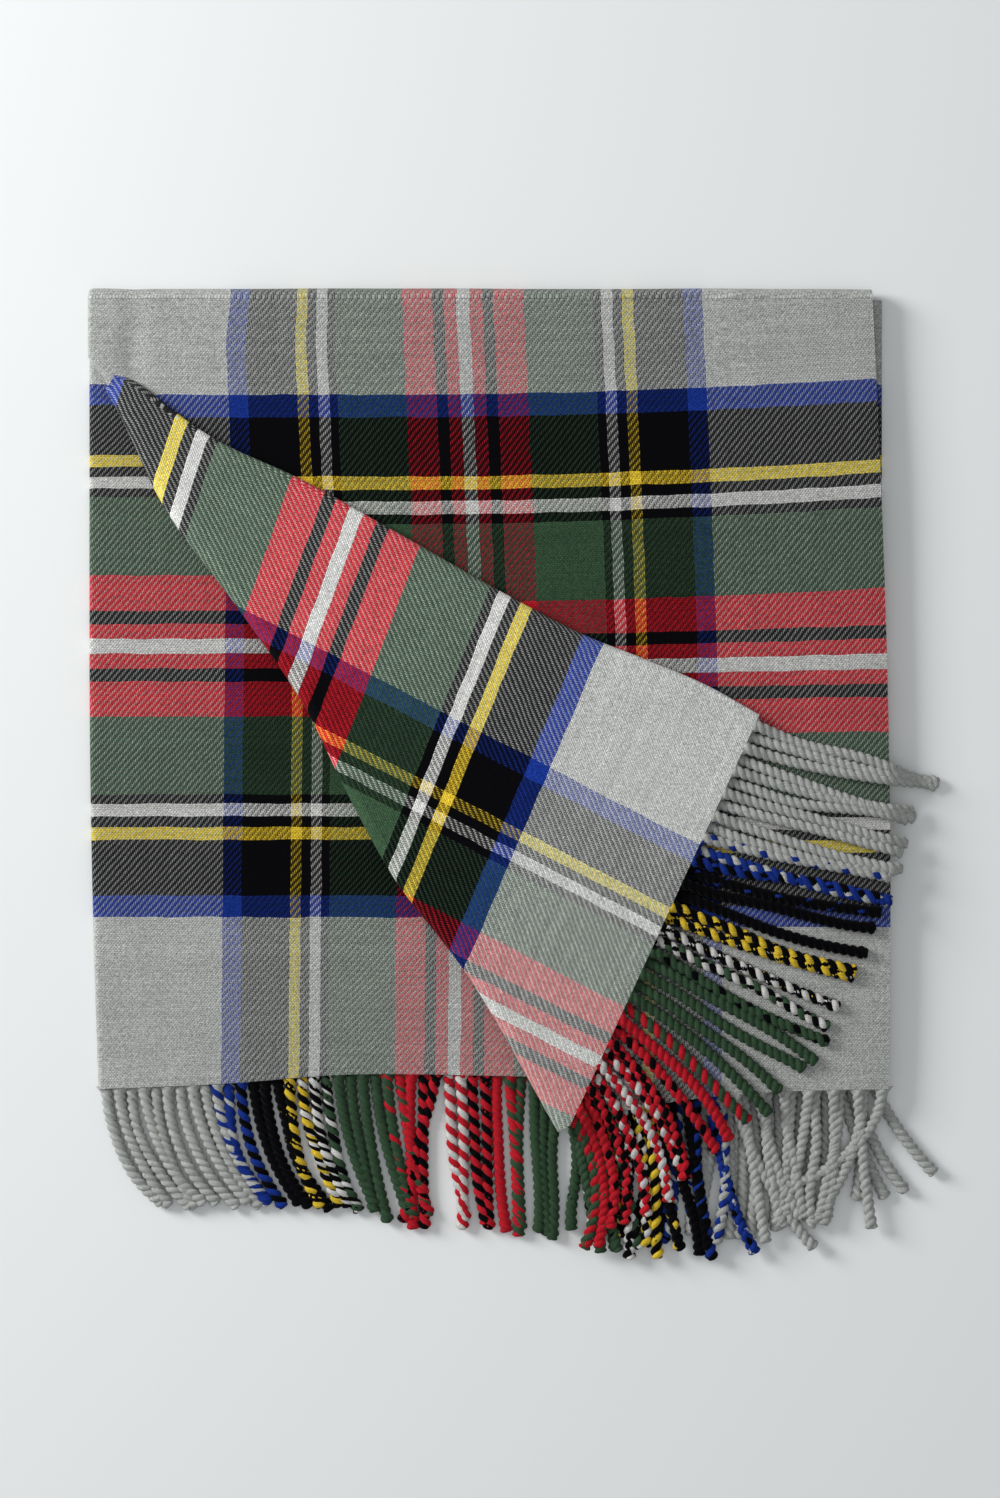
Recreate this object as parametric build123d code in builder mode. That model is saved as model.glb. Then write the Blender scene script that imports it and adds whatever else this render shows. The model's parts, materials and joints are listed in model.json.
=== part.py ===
"""Folded tartan throw: one woven cloth with twisted tassels, folded in quarters.

The cloth is folded in half across its width, with that fold on the left, and then in half
along its length, with that fold at the back. The corner of the upper two layers that lies
over the left front is turned over to the right, so that its underside faces up.

Millimetres. +X is to the right, +Y towards the back fold, +Z up. The origin is the centre of
the underside of the folded stack, which lies flat on the surface below it.
"""

from build123d import *
import os
from math import cos, hypot, pi, sin

# ---- the folded stack
stack_width = 744.0  # left fold to selvedges
stack_length = 752.0  # back fold to hems
layer = 5.0  # one loosely laid layer of the cloth
air = 0.4  # between two layers
pitch = layer + air  # from one layer to the next
tight_roll = air / 2  # inside radius of a fold between neighbouring layers
wide_roll = tight_roll + pitch  # inside radius of a fold that goes round another one

left_roll_line = -stack_width / 2 + tight_roll + layer  # the left fold begins to bend
right_edge = stack_width / 2
hem_line = -stack_length / 2
back_roll_line = stack_length / 2 - wide_roll - layer  # the back folds begin to bend

# ---- levels in the pile, from the surface upwards
bottom_level = 0
third_level = 1
second_level = 2
top_level = 3
corner_lower_level = 4
corner_upper_level = 5

# ---- the turned corner
crease_top = (left_roll_line, 301.0)  # the crease meets the left fold
crease_foot = (70.0, -414.0)  # the crease meets the hem, which was pulled forward there
corner_tip = (247.5, -37.0)  # the hem and the left fold meet here, after the turn
corner_start = 20.0  # from the crease's top, along it, to the corner's own edge

# ---- the fringes
tassel_pitch = 22.6  # fifteen warp ends each
tassel_width = 7.5
tassel_height = 4.6  # two soft plies lie flattened, within their own layer's height
under_phase = 0.25  # first tassel of an under layer, in pitches from the hem's start
over_phase = 0.75  # an upper layer's tassels lie between those of the layer below
short_tassel = 130.0
plain_tassel = 150.0
long_tassel = 165.0
corner_tassel = 185.0
straight_off = -pi / 2  # heading of a tassel that lies straight off the front hem
tip_heading = -0.25  # heading of the tassels at the corner's tip, nearly level
foot_heading = -1.02  # heading of the tassels at the crease's foot, along the crease


def layer_floor(level):
    """Height of the underside of a layer."""
    return level * pitch


def fold_height(level):
    """Height of the middle of the gap just below a layer."""
    return layer_floor(level) - air / 2


def unit(start, end):
    """Direction from one plan point to another, of length 1."""
    length = hypot(end[0] - start[0], end[1] - start[1])
    return ((end[0] - start[0]) / length, (end[1] - start[1]) / length)


def shifted(point, direction, distance):
    """A plan point moved along a direction."""
    return (point[0] + direction[0] * distance, point[1] + direction[1] * distance)


def save(piece, name):
    """Label a finished piece and write it to its own file."""
    piece.part.label = name
    export_step(piece.part, f"parts/{name}.step")


def cloth_panel(outline, level):
    """One flat layer of cloth, from its plan outline and its level in the pile."""
    with BuildPart() as panel:
        with BuildSketch(Plane.XY.offset(layer_floor(level))):
            with BuildLine():
                Polyline(*outline, close=True)
            make_face()
        extrude(amount=layer)
    return panel


def rolled_fold(start, end, height, inside_radius):
    """Half a tube of cloth from start to end, bulging to the right of the way it runs."""
    along = unit(start, end)
    section = Plane(
        origin=(start[0], start[1], height),
        x_dir=(along[1], -along[0], 0),
        z_dir=(along[0], along[1], 0),
    )
    outside_radius = inside_radius + layer
    with BuildPart() as roll:
        with BuildSketch(section):
            Circle(outside_radius)
            Circle(inside_radius, mode=Mode.SUBTRACT)
            with Locations((-outside_radius, 0)):
                Rectangle(2 * outside_radius, 2 * outside_radius, mode=Mode.SUBTRACT)
        extrude(amount=hypot(end[0] - start[0], end[1] - start[1]))
    return roll


def fringe(start, end, level, phase, lengths, headings):
    """A row of tassels along a hem that runs from start to end with the cloth on its left.

    phase is the first tassel's place, in pitches. lengths and headings hold the first
    tassel's and the last one's, and those between change evenly. Each tassel is a separate
    solid, a flattened round cord. One that lies aslant starts a little off the hem, so that
    only the side of its root meets the cloth.
    """
    along = unit(start, end)
    off_hem = (along[1], -along[0])
    hem_length = hypot(end[0] - start[0], end[1] - start[1])
    count = int(hem_length / tassel_pitch)
    with BuildPart() as row:
        for place in range(count):
            share = (place + phase) / count
            length = lengths[0] + (lengths[1] - lengths[0]) * share
            heading = headings[0] + (headings[1] - headings[0]) * share
            slant = abs(along[0] * cos(heading) + along[1] * sin(heading))
            root = shifted(start, along, hem_length * share)
            root = shifted(root, off_hem, slant * tassel_width / 2)
            section = Plane(
                origin=(root[0], root[1], layer_floor(level) + layer / 2),
                x_dir=(-sin(heading), cos(heading), 0),
                z_dir=(cos(heading), sin(heading), 0),
            )
            with BuildSketch(section):
                Ellipse(tassel_width / 2, tassel_height / 2)
            extrude(amount=length)
    return row


os.makedirs("parts", exist_ok=True)

# ---- lower half: two whole layers joined by the left fold
front_left = (left_roll_line, hem_line)
front_right = (right_edge, hem_line)
back_right = (right_edge, back_roll_line)
back_left = (left_roll_line, back_roll_line)
whole_panel = [front_left, front_right, back_right, back_left]

bottom_layer = cloth_panel(whole_panel, bottom_level)
save(bottom_layer, "bottom_layer")

third_layer = cloth_panel(whole_panel, third_level)
save(third_layer, "third_layer")

lower_side_fold = rolled_fold(back_left, front_left, fold_height(third_level), tight_roll)
save(lower_side_fold, "lower_side_fold")

bottom_lengths = (plain_tassel, long_tassel)
down_headings = (straight_off, straight_off)
bottom_fringe = fringe(
    front_left, front_right, bottom_level, under_phase, bottom_lengths, down_headings
)
save(bottom_fringe, "bottom_fringe")

third_lengths = (plain_tassel, plain_tassel)
third_fringe = fringe(
    front_left, front_right, third_level, over_phase, third_lengths, down_headings
)
save(third_fringe, "third_fringe")

# ---- back folds: the cloth rolls from the lower half up into the upper half
back_fold_inner = rolled_fold(back_right, back_left, fold_height(second_level), tight_roll)
save(back_fold_inner, "back_fold_inner")

back_fold_outer = rolled_fold(back_right, back_left, fold_height(second_level), wide_roll)
save(back_fold_outer, "back_fold_outer")

# ---- upper half: two layers that stop at the crease
cut_panel = [crease_foot, front_right, back_right, back_left, crease_top]

second_layer = cloth_panel(cut_panel, second_level)
save(second_layer, "second_layer")

top_layer = cloth_panel(cut_panel, top_level)
save(top_layer, "top_layer")

upper_side_fold = rolled_fold(back_left, crease_top, fold_height(top_level), tight_roll)
save(upper_side_fold, "upper_side_fold")

front_lengths = (short_tassel, long_tassel)
second_fringe = fringe(
    crease_foot, front_right, second_level, under_phase, front_lengths, down_headings
)
save(second_fringe, "second_fringe")

top_fringe = fringe(
    crease_foot, front_right, top_level, over_phase, front_lengths, down_headings
)
save(top_fringe, "top_fringe")

# ---- corner folds: the cloth rolls over the crease into the turned corner
corner_root = shifted(crease_top, unit(crease_top, crease_foot), corner_start)
crease_height = fold_height(corner_lower_level)

corner_fold_inner = rolled_fold(corner_root, crease_foot, crease_height, tight_roll)
save(corner_fold_inner, "corner_fold_inner")

corner_fold_outer = rolled_fold(corner_root, crease_foot, crease_height, wide_roll)
save(corner_fold_outer, "corner_fold_outer")

# ---- turned corner: two layers joined by their own stretch of the left fold
corner_panel = [corner_root, crease_foot, corner_tip]

corner_lower_layer = cloth_panel(corner_panel, corner_lower_level)
save(corner_lower_layer, "corner_lower_layer")

corner_upper_layer = cloth_panel(corner_panel, corner_upper_level)
save(corner_upper_layer, "corner_upper_layer")

edge_height = fold_height(corner_upper_level)
corner_edge_fold = rolled_fold(corner_tip, corner_root, edge_height, tight_roll)
save(corner_edge_fold, "corner_edge_fold")

corner_lengths = (short_tassel, corner_tassel)
fan = (foot_heading, tip_heading)
corner_lower_fringe = fringe(
    crease_foot, corner_tip, corner_lower_level, under_phase, corner_lengths, fan
)
save(corner_lower_fringe, "corner_lower_fringe")

corner_upper_fringe = fringe(
    crease_foot, corner_tip, corner_upper_level, over_phase, corner_lengths, fan
)
save(corner_upper_fringe, "corner_upper_fringe")

# ---- the two lines that the cloth opens about
crease_way = unit(crease_top, crease_foot)
print("back fold: through", (0.0, back_roll_line, fold_height(second_level)), "along", (-1, 0, 0))
print("corner: through", (*crease_foot, crease_height), "along", (*crease_way, 0))
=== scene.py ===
# %% [markdown]
# # A folded tartan throw
# This lesson builds the looks of a wool throw that is folded in quarters, with one corner turned
# over. The plain panels, folds and hinges come from a fixed frame, and the panels and most of the
# fringes made here ride on its bodies. A cloth is a grid of threads, so each piece of it is worked
# out as a grid of points that also carries its own thread count, and the tartan is coloured from that.

# %% Load the frame
import json
import math

import bmesh
import bpy
import mathutils
import numpy as np
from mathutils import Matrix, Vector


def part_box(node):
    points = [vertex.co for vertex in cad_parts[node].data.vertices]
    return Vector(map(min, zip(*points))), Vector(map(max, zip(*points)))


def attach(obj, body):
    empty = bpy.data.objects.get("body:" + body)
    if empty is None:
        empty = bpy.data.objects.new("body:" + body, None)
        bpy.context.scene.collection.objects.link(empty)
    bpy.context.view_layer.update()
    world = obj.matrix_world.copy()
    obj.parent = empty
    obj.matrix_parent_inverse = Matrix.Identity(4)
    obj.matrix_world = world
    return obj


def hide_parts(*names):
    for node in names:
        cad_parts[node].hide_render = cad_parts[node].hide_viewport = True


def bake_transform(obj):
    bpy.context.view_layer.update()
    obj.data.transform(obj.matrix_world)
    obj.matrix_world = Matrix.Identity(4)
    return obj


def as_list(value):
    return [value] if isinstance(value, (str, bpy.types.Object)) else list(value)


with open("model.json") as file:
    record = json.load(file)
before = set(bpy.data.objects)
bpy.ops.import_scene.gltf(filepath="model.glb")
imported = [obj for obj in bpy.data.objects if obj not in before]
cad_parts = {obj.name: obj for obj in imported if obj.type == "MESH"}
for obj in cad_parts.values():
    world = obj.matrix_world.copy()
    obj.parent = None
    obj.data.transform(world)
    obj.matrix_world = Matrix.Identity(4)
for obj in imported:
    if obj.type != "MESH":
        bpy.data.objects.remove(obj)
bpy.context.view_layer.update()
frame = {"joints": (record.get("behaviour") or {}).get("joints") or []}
mm = 0.001

# %% [markdown]
# ## What the frame says
# The pile has six levels of cloth: two whole panels, two cut ones above them, and the two layers
# of the turned corner. Their heights, the lines where the folds begin and the two hinges are all
# read from the frame, so the looks stay where the working model is.

# %% Levels, edges and the crease, from the frame
level_nodes = [
    "bottom_layer",
    "third_layer",
    "second_layer",
    "top_layer",
    "corner_lower_layer",
    "corner_upper_layer",
]
level_mid = np.array([(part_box(n)[0].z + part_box(n)[1].z) / 2 for n in level_nodes])
pile_low, pile_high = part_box("bottom_layer")
back_line = pile_high.y
hem_line = pile_low.y
right_edge = pile_high.x
left_line = pile_low.x
hinges = {joint["name"]: joint for joint in frame["joints"]}
crease_foot = np.array(hinges["corner_crease_hinge"]["pos_m"][:2])
crease_way = np.array(hinges["corner_crease_hinge"]["axis"][:2])
crease_out = np.array([crease_way[1], -crease_way[0]])
crease_length = (left_line - crease_foot[0]) / -crease_way[0]
crease_top = crease_foot - crease_way * crease_length
print("levels at", (level_mid / mm).round(1), "mm, crease", round(crease_length / mm), "mm long")

# %% [markdown]
# ## Threads
# The whole throw is 984 ends wide and 902 picks long. Ends are the warp threads that run its
# length and end in the fringes; picks are the weft threads across it. U counts ends from one
# selvedge and V counts picks from one hem, so the side fold is at the middle end, and the back
# fold at the middle pick. The tartan's stripes are counted outwards from two white pivots.

# %% The thread counts
ends_across = 984
picks_along = 902
fold_end = ends_across / 2
fold_pick = picks_along / 2
pivot_end = 237
pivot_pick = 208
end_pitch = 1.504 * mm
pick_pitch = 1.69 * mm
cloth_thickness = 4.0 * mm
stripes = [
    ("white", 4),
    ("red", 8),
    ("black", 7),
    ("red", 19),
    ("green", 43),
    ("black", 5),
    ("white", 7),
    ("black", 6),
    ("yellow", 7),
    ("black", 31),
    ("blue", 12),
    ("grey", 51),
]
ramp_span = sum(count for _, count in stripes)
ramp_samples = 256
print("half sett", ramp_span - stripes[-1][1], "threads, then grey")

# %% [markdown]
# ## Curves
# A soft fold never runs dead straight. Each one here is a smooth curve through a few points, so a
# helper draws a Catmull-Rom curve: between two points it is a cubic whose slope at each of them
# is the slope from the point before to the point after.


# %% A smooth curve through a few points
def smooth_through(points, x):
    """The height at x of a curve through (x, height) points.

    Between two points it is the cubic that meets both, with the slope at each one taken from
    its two neighbours.
    """
    px, py = np.array(points, float).T
    slope = np.gradient(py, px)
    x = np.clip(x, px[0], px[-1])
    k = np.clip(np.searchsorted(px, x) - 1, 0, len(px) - 2)
    span = px[k + 1] - px[k]
    t = (x - px[k]) / span
    rise = py[k + 1] * (3 * t**2 - 2 * t**3) + py[k] * (1 - 3 * t**2 + 2 * t**3)
    return rise + span * (slope[k] * (t**3 - 2 * t**2 + t) + slope[k + 1] * (t**3 - t**2))


def ease(x, low, high):
    """0 below low, 1 above high, and a smooth step between them."""
    t = np.clip((x - low) / (high - low), 0, 1)
    return t * t * (3 - 2 * t)


# %% [markdown]
# ## How the layers lie
# Each level is nearly flat. A few long, shallow waves lift it, and the upper levels more than the
# lower ones, so that no layer dips into the next. Towards the selvedges and hems the pile loses
# some of its loft, above the crease's top the cloth has a soft valley beside the fold, and the
# two turned layers sink where they come out of the fold at the corner's apex.


# %% Height of each level
wave_count = 9
wave_random = np.random.default_rng(7)
wave_length = wave_random.uniform(110, 380, wave_count) * mm
wave_turn = wave_random.uniform(0, 2 * np.pi, wave_count)
wave_start = wave_random.uniform(0, 2 * np.pi, wave_count)
level_lift = np.array([0.1, 0.3, 1.0, 1.6, 0.7, 0.7]) * mm
apex_sink = np.array([0, 0, 0, 0, 4.6, 8.4]) * mm
valley_depth = np.array([0, 0, 1.0, 3.0, 0, 0]) * mm
flap_low, flap_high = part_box("corner_upper_layer")
apex = np.array([flap_low.x, flap_high.y])


def swell(x, y):
    """Long shallow waves from 0 to 1: the mean of sines that run in different directions."""
    total = 0
    for length, turn, start in zip(wave_length, wave_turn, wave_start):
        total = total + np.sin((x * np.cos(turn) + y * np.sin(turn)) * 2 * np.pi / length + start)
    return np.clip(0.5 + total / wave_count, 0, 1)


def loft(x, y):
    """How much of its height the pile keeps: less within a few centimetres of its open edges."""
    to_right = np.maximum(right_edge - x, 0)
    to_hem = np.maximum(y - hem_line, 0)
    return 1 - 0.08 * np.exp(-to_right / (30 * mm)) - 0.07 * np.exp(-to_hem / (35 * mm))


def valley(x, y):
    """A soft groove from 0 to 1 beside the side fold, from the back edge to the crease's top."""
    across = np.exp(-(((x - left_line - 32 * mm) / (10 * mm)) ** 2))
    return across * ease(y, 265 * mm, 310 * mm) * (1 - 0.6 * ease(y, 320 * mm, 372 * mm))


def height(level, x, y):
    """Middle of the cloth: the level's own height with its loft, waves, valley and sunk apex."""
    rise = level_mid[level] * loft(x, y) + level_lift[level] * swell(x, y)
    past_apex = np.maximum(0, (x - apex[0]) * crease_way[0] + (y - apex[1]) * crease_way[1])
    sunk = apex_sink[level] * np.exp(-past_apex / (22 * mm))
    return rise - valley_depth[level] * valley(x, y) - sunk


# %% [markdown]
# ## Meshes from grids
# Every surface below is a grid: rows and columns of points, with the thread count at each one.
# The helper turns such a grid into quads with foreach_set, gives it a UV map named threads, and
# adds the cloth's thickness with a Solidify modifier, which also closes its rims. The wall is
# then made part of the mesh, and its rims get sharp edges.


# %% Grid to mesh
rim_angle = math.radians(50)
weld_distance = 0.02 * mm


def mesh_from_faces(name, points, corners, sizes, uv):
    """A mesh object from points, the flat list of face corners, each face's size and corner UVs."""
    mesh = bpy.data.meshes.new(name)
    mesh.vertices.add(len(points))
    mesh.vertices.foreach_set("co", points.astype(np.float32).ravel())
    mesh.loops.add(len(corners))
    mesh.loops.foreach_set("vertex_index", corners.astype(np.int32))
    mesh.polygons.add(len(sizes))
    starts = np.concatenate([[0], np.cumsum(sizes)[:-1]])
    mesh.polygons.foreach_set("loop_start", starts.astype(np.int32))
    mesh.polygons.foreach_set("use_smooth", np.ones(len(sizes), bool))
    layer = mesh.uv_layers.new(name="threads")
    layer.data.foreach_set("uv", uv.astype(np.float32).ravel())
    mesh.update(calc_edges=True)
    mesh.validate()
    piece = bpy.data.objects.new(name, mesh)
    bpy.context.scene.collection.objects.link(piece)
    return piece


def grid_corners(rows, columns):
    """The four corner numbers of every quad in a grid of points, row after row."""
    number = np.arange(rows * columns).reshape(rows, columns)
    quads = [number[:-1, :-1], number[:-1, 1:], number[1:, 1:], number[1:, :-1]]
    return np.stack(quads, axis=-1).reshape(-1, 4)


def weld(piece):
    """Join the points that two grids of one piece share, so that its wall has no seam."""
    net = bmesh.new()
    net.from_mesh(piece.data)
    bmesh.ops.remove_doubles(net, verts=net.verts, dist=weld_distance)
    net.to_mesh(piece.data)
    net.free()


def keep_modifiers(piece):
    """Make what the modifiers give into the piece's own mesh."""
    bpy.context.view_layer.update()
    graph = bpy.context.evaluated_depsgraph_get()
    made = bpy.data.meshes.new_from_object(
        piece.evaluated_get(graph), preserve_all_data_layers=True, depsgraph=graph
    )
    piece.modifiers.clear()
    piece.data = made
    made.name = piece.name


def cloth_mesh(name, grids, painted_lightness=1.0):
    """One cloth piece from a list of (points, threads) grids, each of shape rows, columns.

    The last argument multiplies the piece's colour: painted light, for pieces whose face shows brighter
    than the rest.
    """
    points, corners, uvs, first = [], [], [], 0
    for place, threads in grids:
        rows, columns = place.shape[:2]
        quads = grid_corners(rows, columns)
        uvs.append(threads.reshape(-1, 2)[quads])
        corners.append(quads + first)
        points.append(place.reshape(-1, 3))
        first += rows * columns
    corners = np.concatenate(corners)
    uv = np.concatenate(uvs).reshape(-1, 2)
    sizes = np.full(len(corners), 4)
    piece = mesh_from_faces(name, np.concatenate(points), corners.ravel(), sizes, uv)
    weld(piece)
    # Every point carries the piece's painted light: a number that lightens its colour as a whole.
    lightness = piece.data.attributes.new("painted_lightness", "FLOAT", "POINT")
    lightness.data.foreach_set("value", np.full(len(piece.data.vertices), painted_lightness, np.float32))
    wall = piece.modifiers.new("cloth thickness", "SOLIDIFY")
    wall.thickness = cloth_thickness
    wall.offset = 0
    wall.use_even_offset = True
    keep_modifiers(piece)
    piece.data.set_sharp_from_angle(angle=rim_angle)
    print(name, "has", len(piece.data.polygons), "faces")
    return piece


def stack(*layers):
    """Arrays of one shape joined along a new last axis."""
    return np.stack(np.broadcast_arrays(*layers), axis=-1)


# %% [markdown]
# ## The lower half
# The lower half is one panel folded on itself at the left: the bottom layer, the side fold and
# the third layer, in one go. A fold of soft wool is a half ellipse in section. The panel was not
# folded quite along a thread, so the fold's line drifts to the right towards the hem.

# %% The side fold's line and the lower thread counts
lower_rows = 124
lower_columns = 122
roll_steps = 9
side_fold_reach = 3.2 * mm
fold_inset = 5.4 * mm
fold_drift = 8.5 * mm
drift_start = 45 * mm
drift_length = 415 * mm
pivot_x_third = -29.4 * mm
third_end_pitch = 1.475 * mm
hem_bend_depth = 120 * mm
lower_rows_y = np.linspace(back_line, hem_line + 1.5 * mm, lower_rows)


def side_fold_x(y):
    """Where the side fold begins to bend: straight at first, then 8.5 mm inwards by the hem."""
    down = np.clip((drift_start - y) / drift_length, 0, 1.05)
    return left_line - fold_inset + fold_drift * down**2


def third_pick(y):
    """V on the lower half: 0 at the hem, 243 at the white pivot and 439 at the back fold."""
    places = [(39, 243), (107.6, 282), (176.2, 322), (286.2, 392)]
    places = [(place * mm, pick) for place, pick in places]
    return smooth_through([(hem_line, 0), *places, (back_line, 439)], y)


def third_end(x, y):
    """U on the third layer: 255 at its white pivot, and one more for each end to the left."""
    pivot_x = pivot_x_third + 0.0098 * y
    return fold_end - pivot_end - (x - pivot_x) / third_end_pitch


def hem_curve(x, y):
    """How far the lower hems bend back: most left of the middle, and not at all 120 mm inside."""
    bends = [(-372, -4.5), (-250, 1), (-134, 9.5), (0, 8.5), (120, 5), (372, -2)]
    bend = smooth_through([(place * mm, far * mm) for place, far in bends], x)
    return bend * (1 - ease(y, hem_line, hem_line + hem_bend_depth))


def half_roll(y, x_start, reach, z_low, z_high, angles):
    """A half ellipse that bulges to the left, from its lower end to its upper end.

    x is the start less the reach times cosine, and z is the middle height plus half the gap
    times sine.
    """
    x = x_start - reach * np.cos(angles)
    z = (z_low + z_high) / 2 + (z_high - z_low) / 2 * np.sin(angles)
    return stack(x, y, z)


y = lower_rows_y[:, None]
fold_x = side_fold_x(y)
share = np.linspace(0, 1, lower_columns)
third_x = fold_x + (right_edge - 2 * mm - fold_x) * share
third_points = stack(third_x, y + hem_curve(third_x, y), height(1, third_x, y))
third_threads = stack(third_end(third_x, y), third_pick(y))
bottom_x = fold_x + (right_edge - 1 * mm - fold_x) * share
bottom_points = stack(bottom_x, y + hem_curve(bottom_x, y), height(0, bottom_x, y))
fold_u = third_end(fold_x, y)
roll_ends = 8
bottom_u = fold_u + roll_ends + (ends_across - roll_ends - fold_u) * share
bottom_threads = stack(bottom_u, third_pick(y))
angles = np.linspace(-np.pi / 2, np.pi / 2, roll_steps)
roll_low, roll_high = height(0, fold_x, y), height(1, fold_x, y)
roll_points = half_roll(y, fold_x, side_fold_reach, roll_low, roll_high, angles)
roll_points[..., 1] += hem_curve(fold_x, y)
roll_share = np.linspace(1, 0, roll_steps)
roll_threads = stack(fold_u + roll_ends * roll_share, third_pick(y))
lower_cloth = cloth_mesh(
    "lower_cloth",
    [
        (bottom_points[:, ::-1], bottom_threads[:, ::-1]),
        (roll_points, roll_threads),
        (third_points, third_threads),
    ],
)

# %% [markdown]
# ## The crease
# The corner of the upper two layers is turned over a slanted crease. Four surfaces meet along
# it, the two upper layers and the two turned ones, and two rolls join them. They all share one
# plan line, and that line is not straight: the roll bulges and pulls in along its length, and
# near the apex it is at its widest. Each roll starts a little inside the crease, so that the
# cloth begins to curve down before it reaches the edge.

# %% The line that the four layers share
corner_root = np.hypot(*(apex - crease_top)) / crease_length
roll_edge_points = [
    (0, 0.5),
    (corner_root, 5),
    (0.05, 6),
    (0.17, 16),
    (0.32, 6),
    (0.44, 1),
    (0.56, 10),
    (0.66, 13.5),
    (0.79, 2.5),
    (1, 6.5),
]
tuck_points = [
    (corner_root, 3),
    (corner_root + 0.006, 9),
    (corner_root + 0.02, 13),
    (0.08, 16),
    (0.13, 20),
    (0.3, 13),
    (1, 12),
]


def roll_edge(share):
    """How far the outer roll's edge stands out from the hinge line, along the crease."""
    return smooth_through(roll_edge_points, share) * mm - cloth_thickness / 2


def roll_reach(share):
    """How far the outer roll bulges from the line where its cloth begins to bend."""
    return smooth_through(tuck_points, share) * mm


def crease_start(share):
    """Plan point where the cloth begins to bend, at a share of the way from top to foot."""
    along = crease_top + crease_way * (share * crease_length)[..., None]
    return along + crease_out * (roll_edge(share) - roll_reach(share))[..., None]


crease_shares = np.linspace(corner_root, 1, 900)
crease_plan = crease_start(crease_shares)
print("the crease's cloth begins at", (crease_plan[0] / mm).round(), (crease_plan[-1] / mm).round())

# %% [markdown]
# ## Threads of the upper half
# On the top layer the warp leans to the right towards the hem, and the picks rise to the right
# towards the back. Both are small, but they are what makes the tartan look laid by hand. The
# pick at a point is found by guessing it from the height alone, and then correcting the guess
# for the rise that such a pick has there.


# %% Ends and picks of the top layer
warp_lean = 22.5 * mm
lean_start = 375 * mm
lean_length = 751 * mm
hem_start = -378 * mm
hem_pick_pitch = 1.63 * mm


def way_down(y):
    """Share of the way from the back to the hem, and a little past it."""
    return np.clip((lean_start - y) / lean_length, 0, 1.05)


def lean(y):
    """How far the warp has leaned to the right: a quarter sine from the back to the hem."""
    return warp_lean * np.sin(np.pi / 2 * way_down(y))


def selvedge_x(y):
    """The top layer's right edge, which follows the lean a little less towards the hem."""
    return right_edge - 12 * mm + lean(y) * (1 - 0.3 * way_down(y) ** 2)


def top_end(x, y):
    """U on the top layer, from its white pivot outwards, and 984 at the selvedge."""
    pivot_x = -25.4 * mm + lean(y)
    flare = 7 * mm * ease(y, 318 * mm, 376 * mm) * (1 - ease(x, -260 * mm, -60 * mm))
    to_left = (x - flare - pivot_x) / end_pitch
    to_right = (ends_across - fold_end - pivot_end) * (x - pivot_x) / (selvedge_x(y) - pivot_x)
    return fold_end + pivot_end + np.where(x < pivot_x, to_left, to_right)


def front_pick(x, y):
    """V on the upper half: 902 at the hem, less the picks between the hem and the point.

    The picks from the hem come from a curve through four heights, after the rise towards the
    right, which grows with the picks from the hem, has been taken off.
    """
    heights = [(-378, 0), (17.8, 243), (81.2, 282), (275, 392), (400, 463)]
    heights = [(place * mm, picks) for place, picks in heights]
    rises = [(0, 0), (243, 6.8), (282, 13.4), (392, 15), (463, 15)]
    to_right = np.clip((x + 84 * mm) / (444 * mm), 0, 1.2) ** 1.8
    past_hem = np.maximum(0, (hem_start - y) / hem_pick_pitch)
    picks = smooth_through(heights, y)
    for _ in range(3):
        picks = smooth_through(heights, y - smooth_through(rises, picks) * mm * to_right)
    return picks_along - picks + past_hem


# %% [markdown]
# ## The upper half
# The two upper layers stop at the crease on the left, and behind the crease's top they are
# joined by the side fold. Their rows run from the left boundary to the selvedge. The hem dips
# towards the crease's foot, where the turned corner has pulled it forward.

# %% The second layer, the side fold and the top layer
upper_rows = 130
upper_columns = 122
hem_dip_power = 2.6
upper_y_left = np.linspace(back_line, crease_plan[-1][1], upper_rows)
fold_rows = int(np.searchsorted(-upper_y_left, -crease_plan[0][1])) + 1
upper_y_left[fold_rows - 1] = crease_plan[0][1]
upper_x_left = np.interp(upper_y_left, crease_plan[::-1, 1], crease_plan[::-1, 0])
fold_ease = ease(upper_y_left[:fold_rows], crease_plan[0][1], crease_plan[0][1] + 30 * mm)
behind_x = side_fold_x(upper_y_left[:fold_rows])
upper_x_left[:fold_rows] = crease_plan[0][0] + (behind_x - crease_plan[0][0]) * fold_ease
upper_y_right = np.linspace(back_line, hem_line - 2 * mm, upper_rows)


def upper_layer(level, inset):
    """Points of an upper layer: rows from the left boundary to the selvedge, back to front.

    A row's height is its right end's, plus its left end's difference times the share that is
    left to go, to a power, so that the hem dips only near the crease.
    """
    share = np.linspace(0, 1, upper_columns)
    dip = (upper_y_left - upper_y_right)[:, None] * (1 - share) ** hem_dip_power
    y = upper_y_right[:, None] + dip
    edge = selvedge_x(y) - inset
    x = upper_x_left[:, None] + (edge - upper_x_left[:, None]) * share
    return x, y


top_x, top_y = upper_layer(3, 0)
top_points = stack(top_x, top_y, height(3, top_x, top_y))
top_threads = stack(top_end(top_x, top_y), front_pick(top_x, top_y))
second_x, second_y = upper_layer(2, 6 * mm)
second_points = stack(second_x, second_y, height(2, second_x, second_y))


def second_end(x, y):
    """U on the second layer, which mirrors the top one about the middle end."""
    return ends_across - top_end(x, y) - 3


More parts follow.
